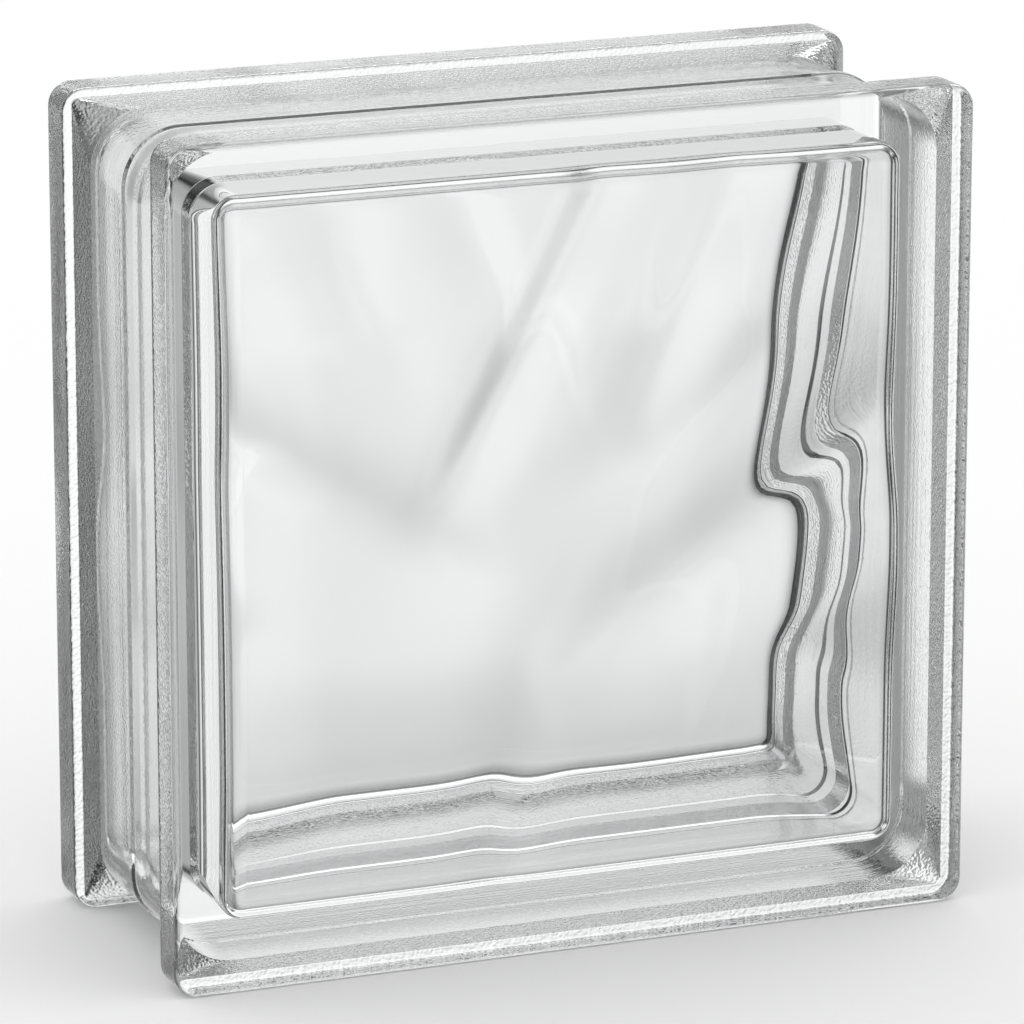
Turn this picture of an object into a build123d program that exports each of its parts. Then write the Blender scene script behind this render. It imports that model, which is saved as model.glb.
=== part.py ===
from build123d import *
from math import exp, hypot, radians, tan
import os

# Hollow glass block, pressed as two like half shells and fused at mid depth.
# Millimetres, +Z up. The origin is at the middle of the bottom, and the clear face looks along -Y.

# Overall size
block_width = 190.0
block_height = 190.0
block_depth = 80.0

# Rim round each face
rim_depth = 11.0
rim_corner_radius = 5.5
face_edge_radius = 1.6
ledge_edge_chamfer = 0.6

# Mortar channel round the four sides
ledge_width = 2.3
ledge_corner_radius = 1.2
shoulder_depth = 7.0
wall_inset = 4.0
wall_corner_radius = 13.0
bead_depth = 3.0
bead_height = 0.6

# Hollow of each half shell
pane_thickness = 7.6
window_inset = 13.7
window_corner_radius = 5.0
seam_corner_radius = 8.0
cavity_draft = 1.0

# Wave relief on the inside of each pane: pleats, a border that thickens towards the walls, and a bay in it
pleat_height = 2.9
pleat_crest = 2.5
border_height = 4.0
border_reach = 38.0
left_reach = 26.0
left_share = 0.3
bay_low = 66.0
bay_high = 99.0
bay_low_edge = 12.0
bay_high_edge = 8.0
bay_start = 15.0
bay_run = 25.0
relief_grid_steps = 40
relief_grid_margin = 4.0
relief_tolerance = 0.25

half_depth = block_depth / 2
middle_height = block_height / 2
window_width = block_width - 2 * window_inset
window_height = block_height - 2 * window_inset
cavity_start = pane_thickness - 1.0


def section_plane(depth):
    """A plane across the block at this depth behind the front face, facing the back."""
    return Plane(origin=(0, depth - half_depth, middle_height), x_dir=(-1, 0, 0), z_dir=(0, 1, 0))


def smooth_step(t):
    """The cubic that leaves 0 and reaches 1 level, held outside."""
    t = min(max(t, 0), 1)
    return t * t * (3 - 2 * t)


def pleat(x, z, start, end, height, left, right):
    """One pleat: it rises along its line to its height, and its two flanks fall away over their widths."""
    dx = end[0] - start[0]
    dz = end[1] - start[1]
    length = hypot(dx, dz)
    along = ((x - start[0]) * dx + (z - start[1]) * dz) / length
    across = ((z - start[1]) * dx - (x - start[0]) * dz) / length
    u = (hypot(across, pleat_crest) - pleat_crest) / (left if across > 0 else right)
    return height * pleat_height * smooth_step(2 * along / length) * exp(-0.6 * (u + u * u))


def pleats(x, z):
    """The five pleats together, as seen from outside the face. Heights are shares of the tallest."""
    total = pleat(x, z, start=(-40, 86), end=(4, 164), height=0.6, left=5, right=9)
    total += pleat(x, z, start=(0, 74), end=(-80, 116), height=0.65, left=18, right=9)
    total += pleat(x, z, start=(-14, 56), end=(56, 101), height=1.0, left=13, right=16)
    total += pleat(x, z, start=(6, 98), end=(37, 168), height=0.7, left=13, right=8)
    total += pleat(x, z, start=(-12, 66), end=(-16, 14), height=0.3, left=7, right=7)
    return total


def border(x, z):
    """The thickening towards the four walls. On the right it leaves a bay where the pane stays thin."""
    room_left = max(window_width / 2 + x, 0)
    room_right = max(window_width / 2 - x, 0)
    room_level = max(window_height / 2 - abs(z - middle_height), 0)
    low_side = smooth_step((z - bay_low) / bay_low_edge + 0.5)
    high_side = smooth_step((bay_high - z) / bay_high_edge + 0.5)
    bay = low_side * high_side * smooth_step((x - bay_start) / bay_run)
    inner = 1 - left_share * (1 - smooth_step(room_left / left_reach))
    inner *= smooth_step(room_level / border_reach)
    inner *= bay + (1 - bay) * smooth_step(room_right / border_reach)
    return border_height * (1 - inner)


def relief_point(i, k):
    """One point of the pane's inner face, on an even grid a little wider than the window."""
    x = (i / relief_grid_steps - 0.5) * (window_width + 2 * relief_grid_margin)
    z = (k / relief_grid_steps - 0.5) * (window_height + 2 * relief_grid_margin) + middle_height
    return (x, pane_thickness - half_depth + pleats(x, z) + border(x, z), z)


# The rim: a rounded plate behind the face
with BuildPart() as rim:
    with BuildSketch(section_plane(0)):
        RectangleRounded(block_width, block_height, rim_corner_radius)
    extrude(amount=rim_depth)
    fillet(rim.faces().sort_by(Axis.Y)[0].edges(), face_edge_radius)
    chamfer(rim.faces().sort_by(Axis.Y)[-1].edges(), ledge_edge_chamfer)

# The shoulder: a slope from the ledge down into the channel, whose corners fan out from sharp to round
with BuildPart() as shoulder:
    with BuildSketch(section_plane(rim_depth)):
        RectangleRounded(block_width - 2 * ledge_width, block_height - 2 * ledge_width, ledge_corner_radius)
    with BuildSketch(section_plane(rim_depth + shoulder_depth)):
        RectangleRounded(block_width - 2 * wall_inset, block_height - 2 * wall_inset, wall_corner_radius)
    loft()

# The hollow, with sides that open towards the seam, and the relief that bounds it at the pane
with BuildPart() as hollow:
    growth = 2 * (half_depth - cavity_start) * tan(radians(cavity_draft))
    with BuildSketch(section_plane(cavity_start)):
        RectangleRounded(window_width, window_height, window_corner_radius)
    with BuildSketch(section_plane(half_depth)):
        RectangleRounded(window_width + growth, window_height + growth, seam_corner_radius)
    loft()
    grid = range(relief_grid_steps + 1)
    points = [[relief_point(i, k) for i in grid] for k in grid]
    relief = Face.make_surface_from_array_of_points(points, tol=relief_tolerance, min_deg=3, max_deg=3)
    extrude(relief, amount=half_depth, dir=(0, 1, 0), mode=Mode.INTERSECT)

# The half shell
with BuildPart() as half_shell:
    with BuildSketch(section_plane(rim_depth + shoulder_depth)):
        RectangleRounded(block_width - 2 * wall_inset, block_height - 2 * wall_inset, wall_corner_radius)
    extrude(amount=half_depth - rim_depth - shoulder_depth)
    add(rim.part)
    add(shoulder.part)
    add(hollow.part, mode=Mode.SUBTRACT)

# The block: two half shells face to face, and the bead that fusing leaves round the seam
with BuildPart() as glass_block:
    add(half_shell.part)
    add(half_shell.part.rotate(Axis.Z, 180))
    with BuildSketch(section_plane(half_depth - bead_depth / 2)):
        bead_inset = wall_inset - bead_height
        RectangleRounded(
            block_width - 2 * bead_inset,
            block_height - 2 * bead_inset,
            wall_corner_radius + bead_height,
        )
        Rectangle(block_width - 2 * window_inset, block_height - 2 * window_inset, mode=Mode.SUBTRACT)
    extrude(amount=bead_depth)
    add(hollow.part, mode=Mode.SUBTRACT)
    add(hollow.part.rotate(Axis.Z, 180), mode=Mode.SUBTRACT)

glass_block.part.label = "glass_block"
os.makedirs("parts", exist_ok=True)
export_step(glass_block.part, "parts/glass_block.step")
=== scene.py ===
"""Looks of a hollow glass block: its pressed glass, its satin back pane and the studio round it.

Sizes in the classes are millimetres. Meshes are metres, in the part's own frame: +Z up, the clear face
towards -Y, the satin face towards +Y, and the origin at the middle of the bottom.
"""

import logging
import math
from dataclasses import dataclass, field
from enum import Enum

import bpy
import numpy as np
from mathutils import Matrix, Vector


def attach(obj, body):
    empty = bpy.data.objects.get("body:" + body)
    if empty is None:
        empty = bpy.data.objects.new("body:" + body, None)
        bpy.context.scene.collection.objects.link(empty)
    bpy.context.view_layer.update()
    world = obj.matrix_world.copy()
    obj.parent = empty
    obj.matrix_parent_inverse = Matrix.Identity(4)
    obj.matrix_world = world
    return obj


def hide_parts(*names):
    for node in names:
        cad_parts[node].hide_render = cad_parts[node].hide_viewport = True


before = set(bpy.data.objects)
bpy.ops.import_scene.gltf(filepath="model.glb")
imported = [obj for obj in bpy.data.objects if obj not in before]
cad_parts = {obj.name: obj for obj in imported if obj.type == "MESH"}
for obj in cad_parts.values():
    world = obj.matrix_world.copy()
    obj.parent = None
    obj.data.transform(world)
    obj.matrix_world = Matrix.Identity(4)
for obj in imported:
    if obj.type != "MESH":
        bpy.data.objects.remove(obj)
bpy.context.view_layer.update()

MM = 0.001

# Stops of a ramp: an angle in degrees and the strength of light there, 1 for white.
Stops = tuple[tuple[float, float], ...]

log = logging.getLogger("glass_block")


class Half(Enum):
    """The two pressed half shells. The value turns the front one's X and Y into this one's."""

    FRONT = 1
    BACK = -1


class Glass(Enum):
    """Which finish a stretch of the block's skin wears. The value is its material slot."""

    CLEAR = 0
    RIM = 1
    WALL = 2
    SATIN = 3


def add_node(tree: bpy.types.NodeTree, kind: str, settings: dict | None = None, **links) -> bpy.types.Node:
    """Adds one node with its settings and links.

    Args:
        tree: The node tree to add to.
        kind: The node's Blender type name.
        settings: Attribute or input names with the values that they get.
        **links: Input names, spaces written as underscores, with the sockets that feed them.

    Returns:
        The new node.
    """
    node = tree.nodes.new(kind)
    for name, value in (settings or {}).items():
        if isinstance(name, int) or name in node.inputs:
            node.inputs[name].default_value = value
        else:
            setattr(node, name, value)
    for name, socket in links.items():
        key = int(name[1:]) if name[0] == "i" and name[1:].isdigit() else name.replace("_", " ")
        tree.links.new(socket, node.inputs[key])
    return node


def linear(code: str) -> tuple[float, float, float, float]:
    """Turns an sRGB hex colour into linear light.

    Args:
        code: Six hex digits, as in "f4f8f6".

    Returns:
        Linear red, green, blue and an alpha of 1.
    """
    channels = (int(code[k : k + 2], 16) / 255 for k in (0, 2, 4))
    light = [c / 12.92 if c <= 0.04045 else ((c + 0.055) / 1.055) ** 2.4 for c in channels]
    return (*light, 1.0)


@dataclass
class Outline:
    """The rounded square that every ring of the block follows, with the same number of points each time.

    A ring starts at the middle of a corner arc. Each of its four stretches is half an arc, a straight side
    and half an arc, so that a pane's square grid can share its border points.
    """

    width: float = 190.0
    height: float = 190.0
    arc_steps: int = 7
    side_steps: int = 82
    edge_gap: float = 0.004

    @property
    def stretch_steps(self) -> int:
        """Steps from the middle of one corner to the middle of the next."""
        return 2 * self.arc_steps + self.side_steps

    @property
    def count(self) -> int:
        """Points in one ring."""
        return 4 * self.stretch_steps

    def ring(self, inset: np.ndarray, radius: np.ndarray) -> tuple[np.ndarray, np.ndarray]:
        """Places the points of many rings at once.

        Each corner is an arc about its own centre, at half width less inset less radius. Each side runs
        straight from one arc's end to the next arc's start, with a short first and last step.

        Args:
            inset: Distance of each ring inside the block's outline, in mm.
            radius: Corner radius of each ring, in mm.

        Returns:
            X and Z of the points, one row for each ring.
        """
        inset = np.atleast_1d(np.asarray(inset, float))[:, None]
        radius = np.atleast_1d(np.asarray(radius, float))[:, None]
        half_arc = np.linspace(0, math.pi / 4, self.arc_steps + 1)
        inner = np.linspace(self.edge_gap, 1 - self.edge_gap, self.side_steps - 1)
        xs, zs = [], []
        for corner in range(4):
            start = math.pi * (corner / 2 + 0.25)
            cx, cz = self._centre(corner, inset, radius)
            nx, nz = self._centre(corner + 1, inset, radius)
            leave, arrive = start + half_arc, start + math.pi / 4 + half_arc
            ax, az = cx + radius * np.cos(leave), cz + radius * np.sin(leave)
            bx, bz = nx + radius * np.cos(arrive), nz + radius * np.sin(arrive)
            xs += [ax, ax[:, -1:] + (bx[:, :1] - ax[:, -1:]) * inner, bx[:, :-1]]
            zs += [az, az[:, -1:] + (bz[:, :1] - az[:, -1:]) * inner, bz[:, :-1]]
        return np.concatenate(xs, axis=1), np.concatenate(zs, axis=1) + self.height / 2

    def _centre(self, corner: int, inset: np.ndarray, radius: np.ndarray) -> tuple[np.ndarray, np.ndarray]:
        """Finds the centre of one corner's arc.

        Args:
            corner: The corner's number, counted from the top right one against the clock.
            inset: Distance of each ring inside the block's outline, in mm.
            radius: Corner radius of each ring, in mm.

        Returns:
            X and Z of the centre, in mm from the middle of the face.
        """
        side_x = 1 if corner % 4 in (0, 3) else -1
        side_z = 1 if corner % 4 in (0, 1) else -1
        return side_x * (self.width / 2 - inset - radius), side_z * (self.height / 2 - inset - radius)


@dataclass
class Profile:
    """A section through the block's skin: corner points with the radius that rounds each of them.

    Each point is (depth behind the face, inset from the outline, corner radius of the ring there, rounding),
    all in mm. The guard is how far beyond an arc its guard ring lies.
    """

    points: list[tuple[float, float, float, float]]
    arc_steps: int = 6
    guard: float = 0.12

    def rings(self) -> tuple[np.ndarray, np.ndarray, np.ndarray]:
        """Rounds the section and lists the rings along it.

        A corner's arc is the quadratic curve from one tangent point over the corner to the other, and each
        tangent point has a guard ring just beyond it that keeps the flat beside it flat in the shading.

        Returns:
            Depth, inset and corner radius of each ring.
        """
        at = np.array([p[:3] for p in self.points], float)
        rows = [at[:1]]
        for k in range(1, len(at) - 1):
            rounding = self.points[k][3]
            before, after = at[k - 1] - at[k], at[k + 1] - at[k]
            far_before, far_after = np.hypot(*before[:2]), np.hypot(*after[:2])
            if rounding == 0:
                rows.append(at[k : k + 1])
                continue
            cosine = np.dot(before[:2], after[:2]) / (far_before * far_after)
            reach = rounding * math.sqrt((1 + cosine) / (1 - cosine))
            t = np.linspace(0, 1, self.arc_steps + 1)[:, None]
            first = at[k] + before * (reach / far_before)
            last = at[k] + after * (reach / far_after)
            curve = first * (1 - t) ** 2 + 2 * at[k] * t * (1 - t) + last * t**2
            rows.append(first[None] + before * (self.guard / far_before))
            rows.append(curve)
            rows.append(last[None] + after * (self.guard / far_after))
        rows.append(at[-1:])
        return tuple(np.concatenate(rows).T)


@dataclass(frozen=True)
class Fold:
    """One soft pleat of the pane's relief, along a straight line that it follows and then runs out beyond.

    Its crest rises from nothing at the start and has its whole height from half way on. The two flanks fall
    away over widths of their own, the first on the left of the way from start to end. Sizes are mm.
    """

    start: tuple[float, float]
    end: tuple[float, float]
    height: float
    left: float
    right: float
    crest: float = 2.5
    fall: float = 0.6

    def stand(self, x: np.ndarray, z: np.ndarray) -> np.ndarray:
        """Works out how far the pleat stands up.

        With u = (root of (distance across^2 + crest^2) - crest) / flank width, the section is
        exp(-fall (u + u^2)): a rounded crest between two flanks that level out.

        Args:
            x: Across the pane, in mm.
            z: Up the pane, in mm.

        Returns:
            The height of the pleat, in mm.
        """
        dx, dz = self.end[0] - self.start[0], self.end[1] - self.start[1]
        length = math.hypot(dx, dz)
        along = ((x - self.start[0]) * dx + (z - self.start[1]) * dz) / length
        across = ((z - self.start[1]) * dx - (x - self.start[0]) * dz) / length
        u = (np.hypot(across, self.crest) - self.crest) / np.where(across > 0, self.left, self.right)
        return self.height * smooth_step(2 * along / length) * np.exp(-self.fall * (u + u * u))


@dataclass
class Relief:
    """The wave relief that is pressed into the inside of each pane, as seen from outside its face."""

    folds: tuple[Fold, ...] = (
        Fold(start=(-40.0, 86.0), end=(4.0, 164.0), height=1.8, left=4.5, right=9.0, crest=1.5),
        Fold(start=(0.0, 74.0), end=(-80.0, 116.0), height=1.9, left=18.0, right=9.0),
        Fold(start=(-14.0, 56.0), end=(56.0, 101.0), height=2.9, left=13.0, right=16.0),
        Fold(start=(6.0, 98.0), end=(37.0, 168.0), height=2.0, left=13.0, right=8.0),
        Fold(start=(-12.0, 66.0), end=(-16.0, 14.0), height=0.8, left=7.0, right=7.0),
    )
    border_height: float = 4.0
    border_reach: float = 38.0
    left_reach: float = 26.0
    left_share: float = 0.3
    bay_low: float = 66.0
    bay_high: float = 99.0
    bay_low_edge: float = 12.0
    bay_high_edge: float = 8.0
    bay_start: float = 15.0
    bay_run: float = 25.0
    widening: float = 2.0
    widening_start: float = 55.0

    def stand(self, x: np.ndarray, z: np.ndarray, rooms: tuple[np.ndarray, ...]) -> np.ndarray:
        """Works out how far the glass stands into the hollow.

        The pleats add up. Towards the walls the pane thickens by a smooth step, but for a bay on the right,
        whose two edges grow softer towards the right wall.

        Args:
            x: Across the pane, in mm.
            z: Up the pane, in mm.
            rooms: Distance from the left wall, the right wall and the nearer of floor and roof, in mm.

        Returns:
            The relief, one height in mm for each point.
        """
        left, right, level = rooms
        softer = 1 + self.widening * smooth_step((x - self.widening_start) / self.bay_run)
        rise = smooth_step((z - self.bay_low) / (self.bay_low_edge * softer) + 0.5)
        fall = smooth_step((self.bay_high - z) / (self.bay_high_edge * softer) + 0.5)
        bay = rise * fall * smooth_step((x - self.bay_start) / self.bay_run)
        inner = 1 - self.left_share * (1 - smooth_step(left / self.left_reach))
        inner = inner * smooth_step(level / self.border_reach)
        inner = inner * (bay + (1 - bay) * smooth_step(right / self.border_reach))
        total = self.border_height * (1 - inner)
        for fold in self.folds:
            total = total + fold.stand(x, z)
        return total


def smooth_step(t: np.ndarray) -> np.ndarray:
    """The cubic that leaves 0 and reaches 1 level: 3 t^2 - 2 t^3, held outside."""
    t = np.clip(t, 0, 1)
    return t * t * (3 - 2 * t)


@dataclass
class Skin:
    """A closed surface, as lists of points and of faces that grow stretch by stretch. Sizes are mm."""

    points: list[np.ndarray] = field(default_factory=list)
    quads: list[np.ndarray] = field(default_factory=list)
    quad_glass: list[np.ndarray] = field(default_factory=list)
    caps: list[np.ndarray] = field(default_factory=list)
    cap_glass: list[int] = field(default_factory=list)
    size: int = 0

    def add_points(self, xyz: np.ndarray) -> int:
        """Adds points.

        Args:
            xyz: Rows of X, Y and Z, in mm.

        Returns:
            The number of the first of them.
        """
        first = self.size
        self.points.append(xyz)
        self.size += len(xyz)
        return first

    def add_quads(self, corners: np.ndarray, glass: np.ndarray | int) -> None:
        """Adds faces of four points each, with the finish that they wear."""
        self.quads.append(corners)
        self.quad_glass.append(np.broadcast_to(glass, len(corners)))

    def add_cap(self, corners: np.ndarray, glass: Glass) -> None:
        """Adds one flat face of many points, with the finish that it wears."""
        self.caps.append(corners)
        self.cap_glass.append(glass.value)

    def mesh(self, name: str) -> bpy.types.Mesh:
        """Writes the surface into a mesh, in metres.

        Args:
            name: The mesh's name.

        Returns:
            The mesh, smooth shaded.
        """
        points = np.concatenate(self.points) * MM
        quads = np.concatenate(self.quads)
        loops = np.concatenate([quads.ravel(), *self.caps]).astype(np.int32)
        sizes = np.concatenate([np.full(len(quads), 4), [len(cap) for cap in self.caps]])
        starts = np.concatenate([[0], np.cumsum(sizes)[:-1]]).astype(np.int32)
        glass = np.concatenate([*self.quad_glass, self.cap_glass]).astype(np.int32)
        mesh = bpy.data.meshes.new(name)
        mesh.vertices.add(len(points))
        mesh.vertices.foreach_set("co", points.astype(np.float32).ravel())
        mesh.loops.add(len(loops))
        mesh.loops.foreach_set("vertex_index", loops)
        mesh.polygons.add(len(sizes))
        mesh.polygons.foreach_set("loop_start", starts)
        mesh.polygons.foreach_set("material_index", glass)
        mesh.polygons.foreach_set("use_smooth", np.ones(len(sizes), bool))
        mesh.update(calc_edges=True)
        mesh.validate()
        return mesh


def ring_quads(first: int, rings: int, count: int, flip: bool) -> np.ndarray:
    """Faces between rings of points that lie one after another.

    Args:
        first: Number of the first ring's first point.
        rings: How many rings there are.
        count: Points in a ring.
        flip: True to turn the faces over.

    Returns:
        Four point numbers a row.
    """
    row = np.arange(rings - 1)[:, None] * count
    col = np.arange(count)[None]
    nxt = (col + 1) % count
    corners = np.stack([row + col, row + nxt, row + count + nxt, row + count + col], axis=-1)
    corners = corners.reshape(-1, 4) + first
    return corners[:, ::-1] if flip else corners


@dataclass
class GlassBlock:
    """The whole block: an outer skin and the skin of its sealed hollow, with glass between them.

    A root is where a raised form starts, and a crown is its top.
    """

    outline: Outline = field(default_factory=Outline)
    relief: Relief = field(default_factory=Relief)
    half_depth: float = 40.0
    satin_inset: float = 10.0
    satin_corner_radius: float = 4.0
    face_edge_radius: float = 1.6
    face_edge_flat: float = 1.0
    rim_depth: float = 11.0
    rim_corner_radius: float = 5.5
    ledge_edge_radius: float = 0.8
    ledge_width: float = 2.3
    ledge_corner_radius: float = 1.2
    ledge_root_radius: float = 0.35
    shoulder_end: float = 18.0
    shoulder_root_radius: float = 1.2
    wall_inset: float = 4.0
    wall_corner_radius: float = 13.0
    bead_half_depth: float = 1.5
    bead_height: float = 0.6
    bead_root_radius: float = 0.3
    bead_crown_half_depth: float = 0.8
    bead_crown_radius: float = 0.4
    pane_thickness: float = 7.6
    pane_corner_radius: float = 1.0
    window_inset: float = 13.7
    window_corner_radius: float = 5.0
    hollow_fillet: float = 5.5
    fillet_share: float = 0.98
    hollow_draft: float = 1.0
    seam_corner_radius: float = 8.0
    fuse_half_depth: float = 5.0
    fuse_height: float = 1.0
    fuse_root_radius: float = 1.5
    fuse_crown_half_depth: float = 1.6
    fuse_crown_radius: float = 1.2

    def outer_profile(self) -> Profile:
        """Lists the section of the outer skin, from the edge of the satin field to the crown of the seam bead.

        Returns:
            The section.
        """
        wall, wall_radius = self.wall_inset, self.wall_corner_radius
        crown, crown_radius = wall - self.bead_height, wall_radius + self.bead_height
        edge = self.face_edge_radius + self.face_edge_flat
        return Profile(
            [
                (0.0, self.satin_inset, self.satin_corner_radius, 0),
                (0.0, edge, self.rim_corner_radius - edge, 0),
                (0.0, 0.0, self.rim_corner_radius, self.face_edge_radius),
                (self.rim_depth, 0.0, self.rim_corner_radius, self.ledge_edge_radius),
                (self.rim_depth, self.ledge_width, self.ledge_corner_radius, self.ledge_root_radius),
                (self.shoulder_end, wall, wall_radius, self.shoulder_root_radius),
                (self.half_depth - self.bead_half_depth, wall, wall_radius, self.bead_root_radius),
                (self.half_depth - self.bead_crown_half_depth, crown, crown_radius, self.bead_crown_radius),
                (self.half_depth, crown, crown_radius, 0),
            ]
        )

    def hollow_profile(self) -> Profile:
        """Lists the section of the hollow, from the start of the fillet round the pane to the seam.

        The fillet is a little smaller than its place, which leaves room for its guard ring.

        Returns:
            The section.
        """
        wall_run = self.half_depth - self.pane_thickness
        seam_inset = self.window_inset - wall_run * math.tan(math.radians(self.hollow_draft))
        crown, seam_radius = seam_inset + self.fuse_height, self.seam_corner_radius
        fillet = self.hollow_fillet * self.fillet_share
        return Profile(
            [
                (self.pane_thickness, self.window_inset + self.hollow_fillet, self.pane_corner_radius, 0),
                (self.pane_thickness, self.window_inset, self.window_corner_radius, fillet),
                (self.half_depth - self.fuse_half_depth, seam_inset, seam_radius, self.fuse_root_radius),
                (self.half_depth - self.fuse_crown_half_depth, crown, seam_radius, self.fuse_crown_radius),
                (self.half_depth, crown, seam_radius, 0),
            ]
        )

    def add_outer(self, skin: Skin) -> None:
        """Adds the outer skin: rings from face to seam to face, closed by a flat cap at each face.

        The back half's rings are the front half's, mirrored at the seam.

        Args:
            skin: The skin to add to.
        """
        count = self.outline.count
        depth, inset, radius = self.outer_profile().rings()
        x, z = self.outline.ring(inset, radius)
        y = np.repeat(depth[:, None] - self.half_depth, count, axis=1)
        front = np.stack([x, y, z], axis=-1)
        back = front[::-1][1:] * np.array([1.0, -1.0, 1.0])
        first = skin.add_points(np.concatenate([front, back]).reshape(-1, 3))
        whole_depth = np.concatenate([depth, 2 * self.half_depth - depth[::-1][1:]])
        middle = (whole_depth[:-1] + whole_depth[1:]) / 2
        from_face = self.half_depth - np.abs(middle - self.half_depth)
        glass = np.full(len(middle), Glass.CLEAR.value)
        glass[from_face > self.face_edge_radius] = Glass.RIM.value
        glass[from_face > self.shoulder_end] = Glass.WALL.value
        skin.add_quads(ring_quads(first, len(whole_depth), count, flip=True), np.repeat(glass, count))
        face = first + np.arange(count)
        skin.add_cap(face, Glass.CLEAR)
        skin.add_cap(face[::-1] + len(middle) * count, Glass.SATIN)

    def add_hollow(self, skin: Skin) -> None:
        """Adds the hollow's skin: a relief grid for each pane, with walls from pane to seam to pane.

        The walls' rings follow the relief at the pane and less of it with each step towards the seam.

        Args:
            skin: The skin to add to.
        """
        depth, inset, radius = self.hollow_profile().rings()
        share = 1 - smooth_step((depth - self.pane_thickness) / (self.half_depth - self.pane_thickness))
        x, z = self.outline.ring(inset, radius)
        pane_x, pane_z = self.pane_grid(x[0], z[0])
        panes, walls = {}, {}
        for half in Half:
            side = half.value
            pane_y = (self.pane_thickness - self.half_depth + self.stand_at(pane_x * side, pane_z)) * side
            panes[half] = np.stack([pane_x, pane_y, pane_z], axis=-1)
            edge = self.stand_at(x[0] * side, z[0])
            y = (depth[:, None] - self.half_depth + share[:, None] * edge[None]) * side
            walls[half] = np.stack([x, y, z], axis=-1)
        rings = np.concatenate([walls[Half.FRONT], walls[Half.BACK][::-1][1:]])
        first = skin.add_points(rings.reshape(-1, 3))
        last = first + (len(rings) - 1) * self.outline.count
        skin.add_quads(ring_quads(first, len(rings), self.outline.count, flip=False), Glass.CLEAR.value)
        self.add_pane(skin, panes[Half.FRONT], first, flip=True)
        self.add_pane(skin, panes[Half.BACK], last, flip=False)

    def stand_at(self, x: np.ndarray, z: np.ndarray) -> np.ndarray:
        """Works out the relief at points of a pane, with the room from each to the walls.

        Args:
            x: Across the pane, in mm.
            z: Up the pane, in mm.

        Returns:
            The relief, one height in mm for each point.
        """
        half_width = self.outline.width / 2 - self.window_inset
        level = self.outline.height / 2 - self.window_inset - np.abs(z - self.outline.height / 2)
        return self.relief.stand(x, z, (half_width + x, half_width - x, level))

    def pane_grid(self, edge_x: np.ndarray, edge_z: np.ndarray) -> tuple[np.ndarray, np.ndarray]:
        """A square grid whose border is the pane's outline.

        Each inner point is the blend of the four border curves: the two straight blends between opposite
        sides, added, less the blend of the four corners.

        Args:
            edge_x: X of the border ring.
            edge_z: Z of the border ring.

        Returns:
            X and Z of the grid. Rows run from the top side down, columns from right to left.
        """
        n = self.outline.stretch_steps
        t = np.linspace(0, 1, n + 1)
        ring = np.stack([edge_x, edge_z], axis=-1)
        ring = np.concatenate([ring, ring[:1]])
        top, left = ring[: n + 1], ring[n : 2 * n + 1]
        bottom, right = ring[2 * n : 3 * n + 1][::-1], ring[3 * n : 4 * n + 1][::-1]
        u, v = t[None, :, None], t[:, None, None]
        grid = (1 - v) * top[None] + v * bottom[None] + (1 - u) * right[:, None] + u * left[:, None]
        grid = grid - (1 - u) * (1 - v) * top[0] - u * (1 - v) * top[-1]
        grid = grid - (1 - u) * v * bottom[0] - u * v * bottom[-1]
        return grid[..., 0], grid[..., 1]

    def add_pane(self, skin: Skin, sheet: np.ndarray, edge_first: int, flip: bool) -> None:
        """Adds one pane's inner face and joins its border to the wall's first ring.

        Args:
            skin: The skin to add to.
            sheet: The pane's grid of points.
            edge_first: Number of the border ring's first point.
            flip: True to turn the faces over.
        """
        n = self.outline.stretch_steps
        number = np.zeros((n + 1, n + 1), int)
        inner_first = skin.add_points(sheet[1:-1, 1:-1].reshape(-1, 3))
        number[1:-1, 1:-1] = inner_first + np.arange((n - 1) ** 2).reshape(n - 1, n - 1)
        number[0, :] = edge_first + np.arange(n + 1)
        number[:, n] = edge_first + n + np.arange(n + 1)
        number[n, ::-1] = edge_first + 2 * n + np.arange(n + 1)
        number[1:, 0] = (edge_first + 3 * n + np.arange(n))[::-1]
        a, b, c, d = number[:-1, :-1], number[:-1, 1:], number[1:, 1:], number[1:, :-1]
        corners = np.stack([a, b, c, d], axis=-1).reshape(-1, 4)
        skin.add_quads(corners[:, ::-1] if flip else corners, Glass.CLEAR.value)

    def build(self) -> bpy.types.Object:
        """Makes the block's one piece, at the origin, with its place in its mesh.

        Returns:
            The piece.
        """
        skin = Skin()
        self.add_outer(skin)
        self.add_hollow(skin)
        piece = bpy.data.objects.new("pressed_glass_block", skin.mesh("pressed_glass_block"))
        bpy.context.scene.collection.objects.link(piece)
        return piece


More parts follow.
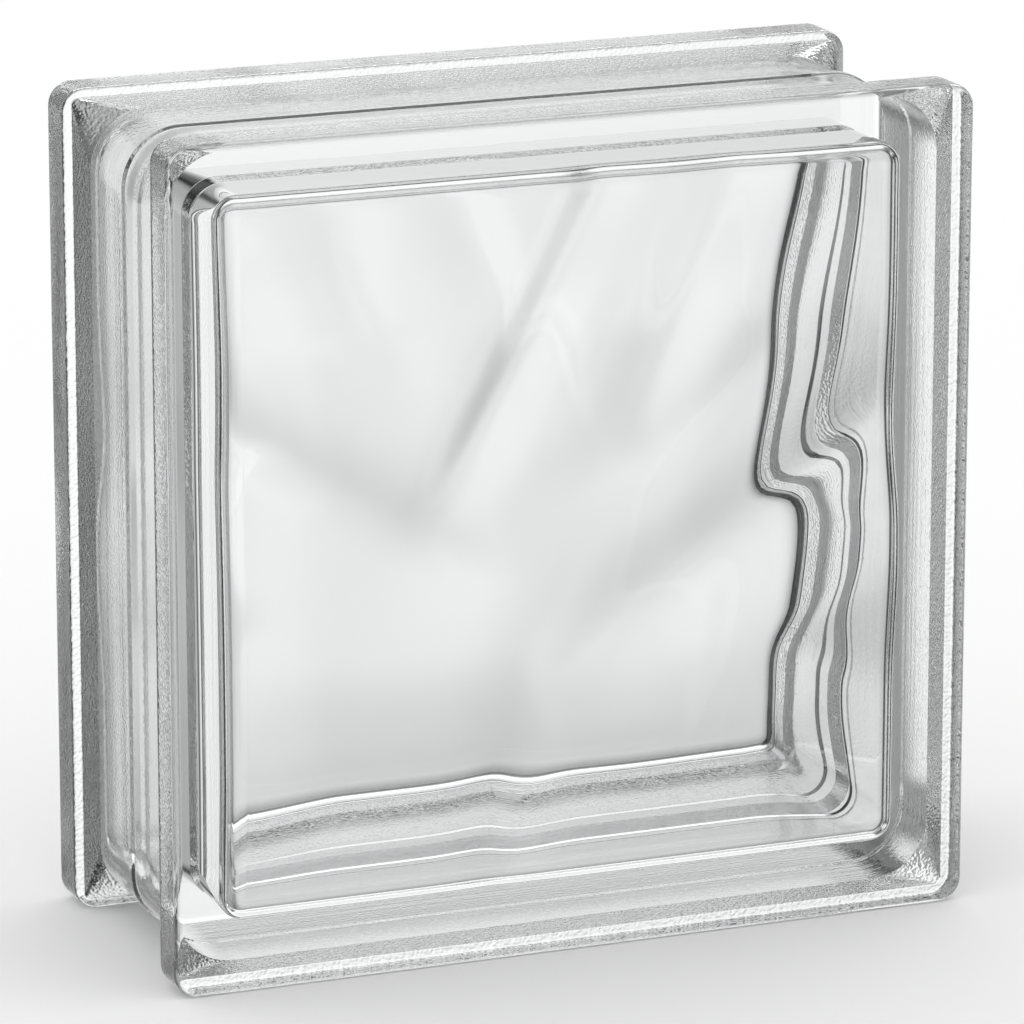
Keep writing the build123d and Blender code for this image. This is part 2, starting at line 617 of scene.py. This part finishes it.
@dataclass(frozen=True)
class PressedGlass:
    """Soda-lime glass, with the surface that the mould, the plunger or the acid gave it."""

    name: str
    roughness: float = 0.0
    pit_mm: float = 0.6
    pit_depth_mm: float = 0.0
    line_mm: float = 1.9
    line_depth_mm: float = 0.0
    line_stretch: float = 0.03
    colour: str = "fdfefe"
    ior: float = 1.52

    def material(self) -> bpy.types.Material:
        """Makes the material: clear refracting glass, with the marks as bumps where it has them.

        Returns:
            The material.
        """
        material = bpy.data.materials.new(self.name)
        material.use_nodes = True
        tree = material.node_tree
        tree.nodes.clear()
        settings = {
            "Base Color": linear(self.colour),
            "Roughness": self.roughness,
            "IOR": self.ior,
            "Transmission Weight": 1.0,
        }
        shader = add_node(tree, "ShaderNodeBsdfPrincipled", settings)
        if self.pit_depth_mm:
            tree.links.new(self.marks(tree), shader.inputs["Normal"])
        add_node(tree, "ShaderNodeOutputMaterial", Surface=shader.outputs[0])
        return material

    def marks(self, tree: bpy.types.NodeTree) -> bpy.types.NodeSocket:
        """Adds the mould's marks: even noise for pits, and noise that changes along Y only for draw lines.

        Args:
            tree: The node tree to add to.

        Returns:
            The bumped normal.
        """
        place = add_node(tree, "ShaderNodeTexCoord").outputs["Object"]
        stretch = (self.line_stretch, 1.0, self.line_stretch)
        drawn = add_node(tree, "ShaderNodeMapping", {"Scale": stretch}, Vector=place).outputs[0]
        line_noise = {"Scale": 1 / (self.line_mm * MM), "Detail": 1.0}
        lines = add_node(tree, "ShaderNodeTexNoise", line_noise, Vector=drawn).outputs["Fac"]
        line_depth = {"Distance": self.line_depth_mm * MM}
        lined = add_node(tree, "ShaderNodeBump", line_depth, Height=lines).outputs["Normal"]
        pit_noise = {"Scale": 1 / (self.pit_mm * MM), "Detail": 0.0}
        pits = add_node(tree, "ShaderNodeTexNoise", pit_noise, Vector=place).outputs["Fac"]
        pit_depth = {"Distance": self.pit_depth_mm * MM}
        return add_node(tree, "ShaderNodeBump", pit_depth, Height=pits, Normal=lined).outputs["Normal"]


# The order is that of Glass.
FINISHES = (
    # Clear pressed glass: polished by the fire as it leaves the mould. Sharp and colourless, with deep dark
    # lines at its edges.
    PressedGlass("clear_pressed_glass"),
    # Mould-grained glass: the rim's sides slide along the mould. A grey that glitters with fine grain. Real
    # grain is finer, and is drawn 0.7 mm wide because finer grain doesn't show in the render.
    PressedGlass("mould_grained_glass", roughness=0.1, pit_mm=0.7, pit_depth_mm=0.18, line_depth_mm=0.02),
    # Draw-marked glass: the channel's walls, with the lines that the closing mould draws round the block.
    PressedGlass("draw_marked_glass", roughness=0.12, pit_mm=0.7, pit_depth_mm=0.04, line_depth_mm=0.05),
    # Satin glass: etched with acid to a fine frost that turns what is behind it to soft streaks.
    PressedGlass("satin_etched_glass", roughness=0.42),
)


@dataclass
class Studio:
    """A pale floor in a tent of soft light, and the camera at the photograph's angle.

    Angles are degrees and lengths metres. The tent's walls are as light as their stops round the camera's
    way forward, on its left and on its right, times their stops up and down. The roof and the ground go by
    angle up alone, and the walls' share says where they end.
    """

    floor_size: float = 6.0
    azimuth: float = -22.19
    elevation: float = 14.76
    distance: float = 1.5475
    target: tuple[float, float, float] = (0.0004, 0.0, 0.0913)
    lens: float = 241.4
    left: Stops = (
        (-180, 0.1), (-170, 0.9), (-146, 0.9), (-137, 0.04), (-128, 0.04), (-121, 0.85), (-103, 0.85), (-96, 0.04),
        (-76, 0.04), (-70, 0.7), (-62, 0.7), (-58, 0.03), (-53, 0.03), (-48, 0.45), (-38, 0.55), (-34, 0.12),
        (-31, 0.08), (-26, 0.6), (-16, 0.93), (-8, 1.12), (0, 1.0),
    )
    right: Stops = (
        (0, 1.0), (8, 0.92), (18, 0.62), (23, 0.26), (26, 0.02), (55, 0.02), (61, 0.75), (76, 0.75), (84, 0.04),
        (97, 0.04), (104, 0.85), (122, 0.85), (129, 0.04), (142, 0.04), (149, 0.9), (170, 0.9), (180, 0.1),
    )
    roof_and_ground: Stops = (
        (-90, 0.9), (-60, 1.0), (-51, 1.5), (-47, 1.3), (-43, 0.3), (26, 0.06), (38, 0.08), (46, 0.8), (60, 1.1),
        (90, 1.0),
    )
    climb: Stops = (
        (-43, 0.25), (-36, 0.35), (-30, 0.62), (-22, 0.78), (-16, 0.98), (-10, 1.06), (0, 1.0), (10, 0.88), (17, 0.8),
        (22, 0.42), (26, 0.06),
    )
    wall_share: Stops = ((-47, 0.0), (-43, 1.0), (30, 1.0), (36, 0.0))

    @staticmethod
    def grey(tree: bpy.types.NodeTree, angle: bpy.types.NodeSocket, stops: Stops) -> bpy.types.NodeSocket:
        """Turns an angle into a grey by a ramp.

        Args:
            tree: The node tree to add to.
            angle: The angle, in radians.
            stops: Angle in degrees and grey of each stop.

        Returns:
            The ramp's grey.
        """
        low, high = stops[0][0], stops[-1][0]
        limits = {"From Min": math.radians(low), "From Max": math.radians(high)}
        place = add_node(tree, "ShaderNodeMapRange", limits, Value=angle)
        ramp = add_node(tree, "ShaderNodeValToRGB", Fac=place.outputs[0])
        elements = ramp.color_ramp.elements
        while len(elements) < len(stops):
            elements.new(0.5)
        for element, (degrees, grey) in zip(elements, stops):
            element.position = (degrees - low) / (high - low)
            element.color = (grey, grey, grey, 1)
        return ramp.outputs[0]

    @staticmethod
    def product(
        tree: bpy.types.NodeTree, first: bpy.types.NodeSocket, second: bpy.types.NodeSocket
    ) -> bpy.types.NodeSocket:
        """Multiplies two values."""
        return add_node(tree, "ShaderNodeMath", {"operation": "MULTIPLY"}, i0=first, i1=second).outputs[0]

    def floor(self) -> bpy.types.Object:
        """Makes the floor, a wide square under the block, which glass doesn't show.

        Returns:
            The floor.
        """
        half = self.floor_size / 2
        corners = [(-half, -half, 0), (half, -half, 0), (half, half, 0), (-half, half, 0)]
        mesh = bpy.data.meshes.new("floor")
        mesh.from_pydata(corners, [], [(0, 1, 2, 3)])
        floor = bpy.data.objects.new("floor", mesh)
        bpy.context.scene.collection.objects.link(floor)
        material = bpy.data.materials.new("white_floor")
        material.use_nodes = True
        tree = material.node_tree
        tree.nodes.clear()
        shader = add_node(tree, "ShaderNodeBsdfDiffuse", {"Color": linear("ffffff")})
        add_node(tree, "ShaderNodeOutputMaterial", Surface=shader.outputs[0])
        mesh.materials.append(material)
        floor.visible_glossy = False
        floor.visible_transmission = False
        return floor

    def world(self) -> None:
        """Makes the tent: white to the camera, and to glass white cloth with darker gaps between its panels."""
        world = bpy.data.worlds.new("tent")
        bpy.context.scene.world = world
        world.use_nodes = True
        tree = world.node_tree
        tree.nodes.clear()
        place = add_node(tree, "ShaderNodeTexCoord")
        turning = {"rotation_type": "Z_AXIS", "Angle": -math.radians(self.azimuth)}
        turned = add_node(tree, "ShaderNodeVectorRotate", turning, Vector=place.outputs["Generated"])
        axes = add_node(tree, "ShaderNodeSeparateXYZ", Vector=turned.outputs[0]).outputs
        turn = add_node(tree, "ShaderNodeMath", {"operation": "ARCTAN2"}, i0=axes[0], i1=axes[1]).outputs[0]
        height = add_node(tree, "ShaderNodeMath", {"operation": "ARCSINE"}, i0=axes[2]).outputs[0]
        around = self.product(tree, self.grey(tree, turn, self.left), self.grey(tree, turn, self.right))
        walls = self.product(tree, around, self.grey(tree, height, self.climb))
        ends = self.grey(tree, height, self.roof_and_ground)
        share = self.grey(tree, height, self.wall_share)
        tent = add_node(tree, "ShaderNodeMix", {"data_type": "FLOAT"}, Factor=share, A=ends, B=walls).outputs[0]
        rays = add_node(tree, "ShaderNodeLightPath").outputs
        glossy, through = rays["Is Glossy Ray"], rays["Is Transmission Ray"]
        glass = add_node(tree, "ShaderNodeMath", {"operation": "MAXIMUM"}, i0=glossy, i1=through).outputs[0]
        white = {"data_type": "FLOAT", "A": 1.0}
        strength = add_node(tree, "ShaderNodeMix", white, Factor=glass, B=tent).outputs["Result"]
        shader = add_node(tree, "ShaderNodeBackground", {"Color": linear("ffffff")}, Strength=strength)
        add_node(tree, "ShaderNodeOutputWorld", Surface=shader.outputs[0])

    def camera(self) -> None:
        """Makes the camera and aims it at the block."""
        a, e = math.radians(self.azimuth), math.radians(self.elevation)
        back = Vector((math.sin(a) * math.cos(e), -math.cos(a) * math.cos(e), math.sin(e)))
        data = bpy.data.cameras.new("camera")
        data.lens = self.lens
        data.sensor_width = 36.0
        camera = bpy.data.objects.new("camera", data)
        camera.location = Vector(self.target) + back * self.distance
        camera.rotation_mode = "QUATERNION"
        camera.rotation_quaternion = (-back).to_track_quat("-Z", "Y")
        bpy.context.scene.collection.objects.link(camera)
        bpy.context.scene.camera = camera


def main() -> None:
    """Builds the block and its studio, and reports each piece."""
    logging.basicConfig(level=logging.INFO, format="%(message)s")
    studio = Studio()
    studio.camera()
    studio.world()
    studio.floor()
    block = GlassBlock()
    piece = block.build()
    for finish in FINISHES:
        piece.data.materials.append(finish.material())
    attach(piece, "root")
    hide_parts("glass_block")
    log.info("%s: %d faces", piece.name, len(piece.data.polygons))
    scene = bpy.context.scene
    scene.view_settings.view_transform = "Standard"
    # Light crosses up to eight skins of glass, and turns a few times inside the walls.
    scene.cycles.max_bounces = 18
    scene.cycles.transmission_bounces = 16
    scene.cycles.glossy_bounces = 10


if __name__ == "__main__":
    main()
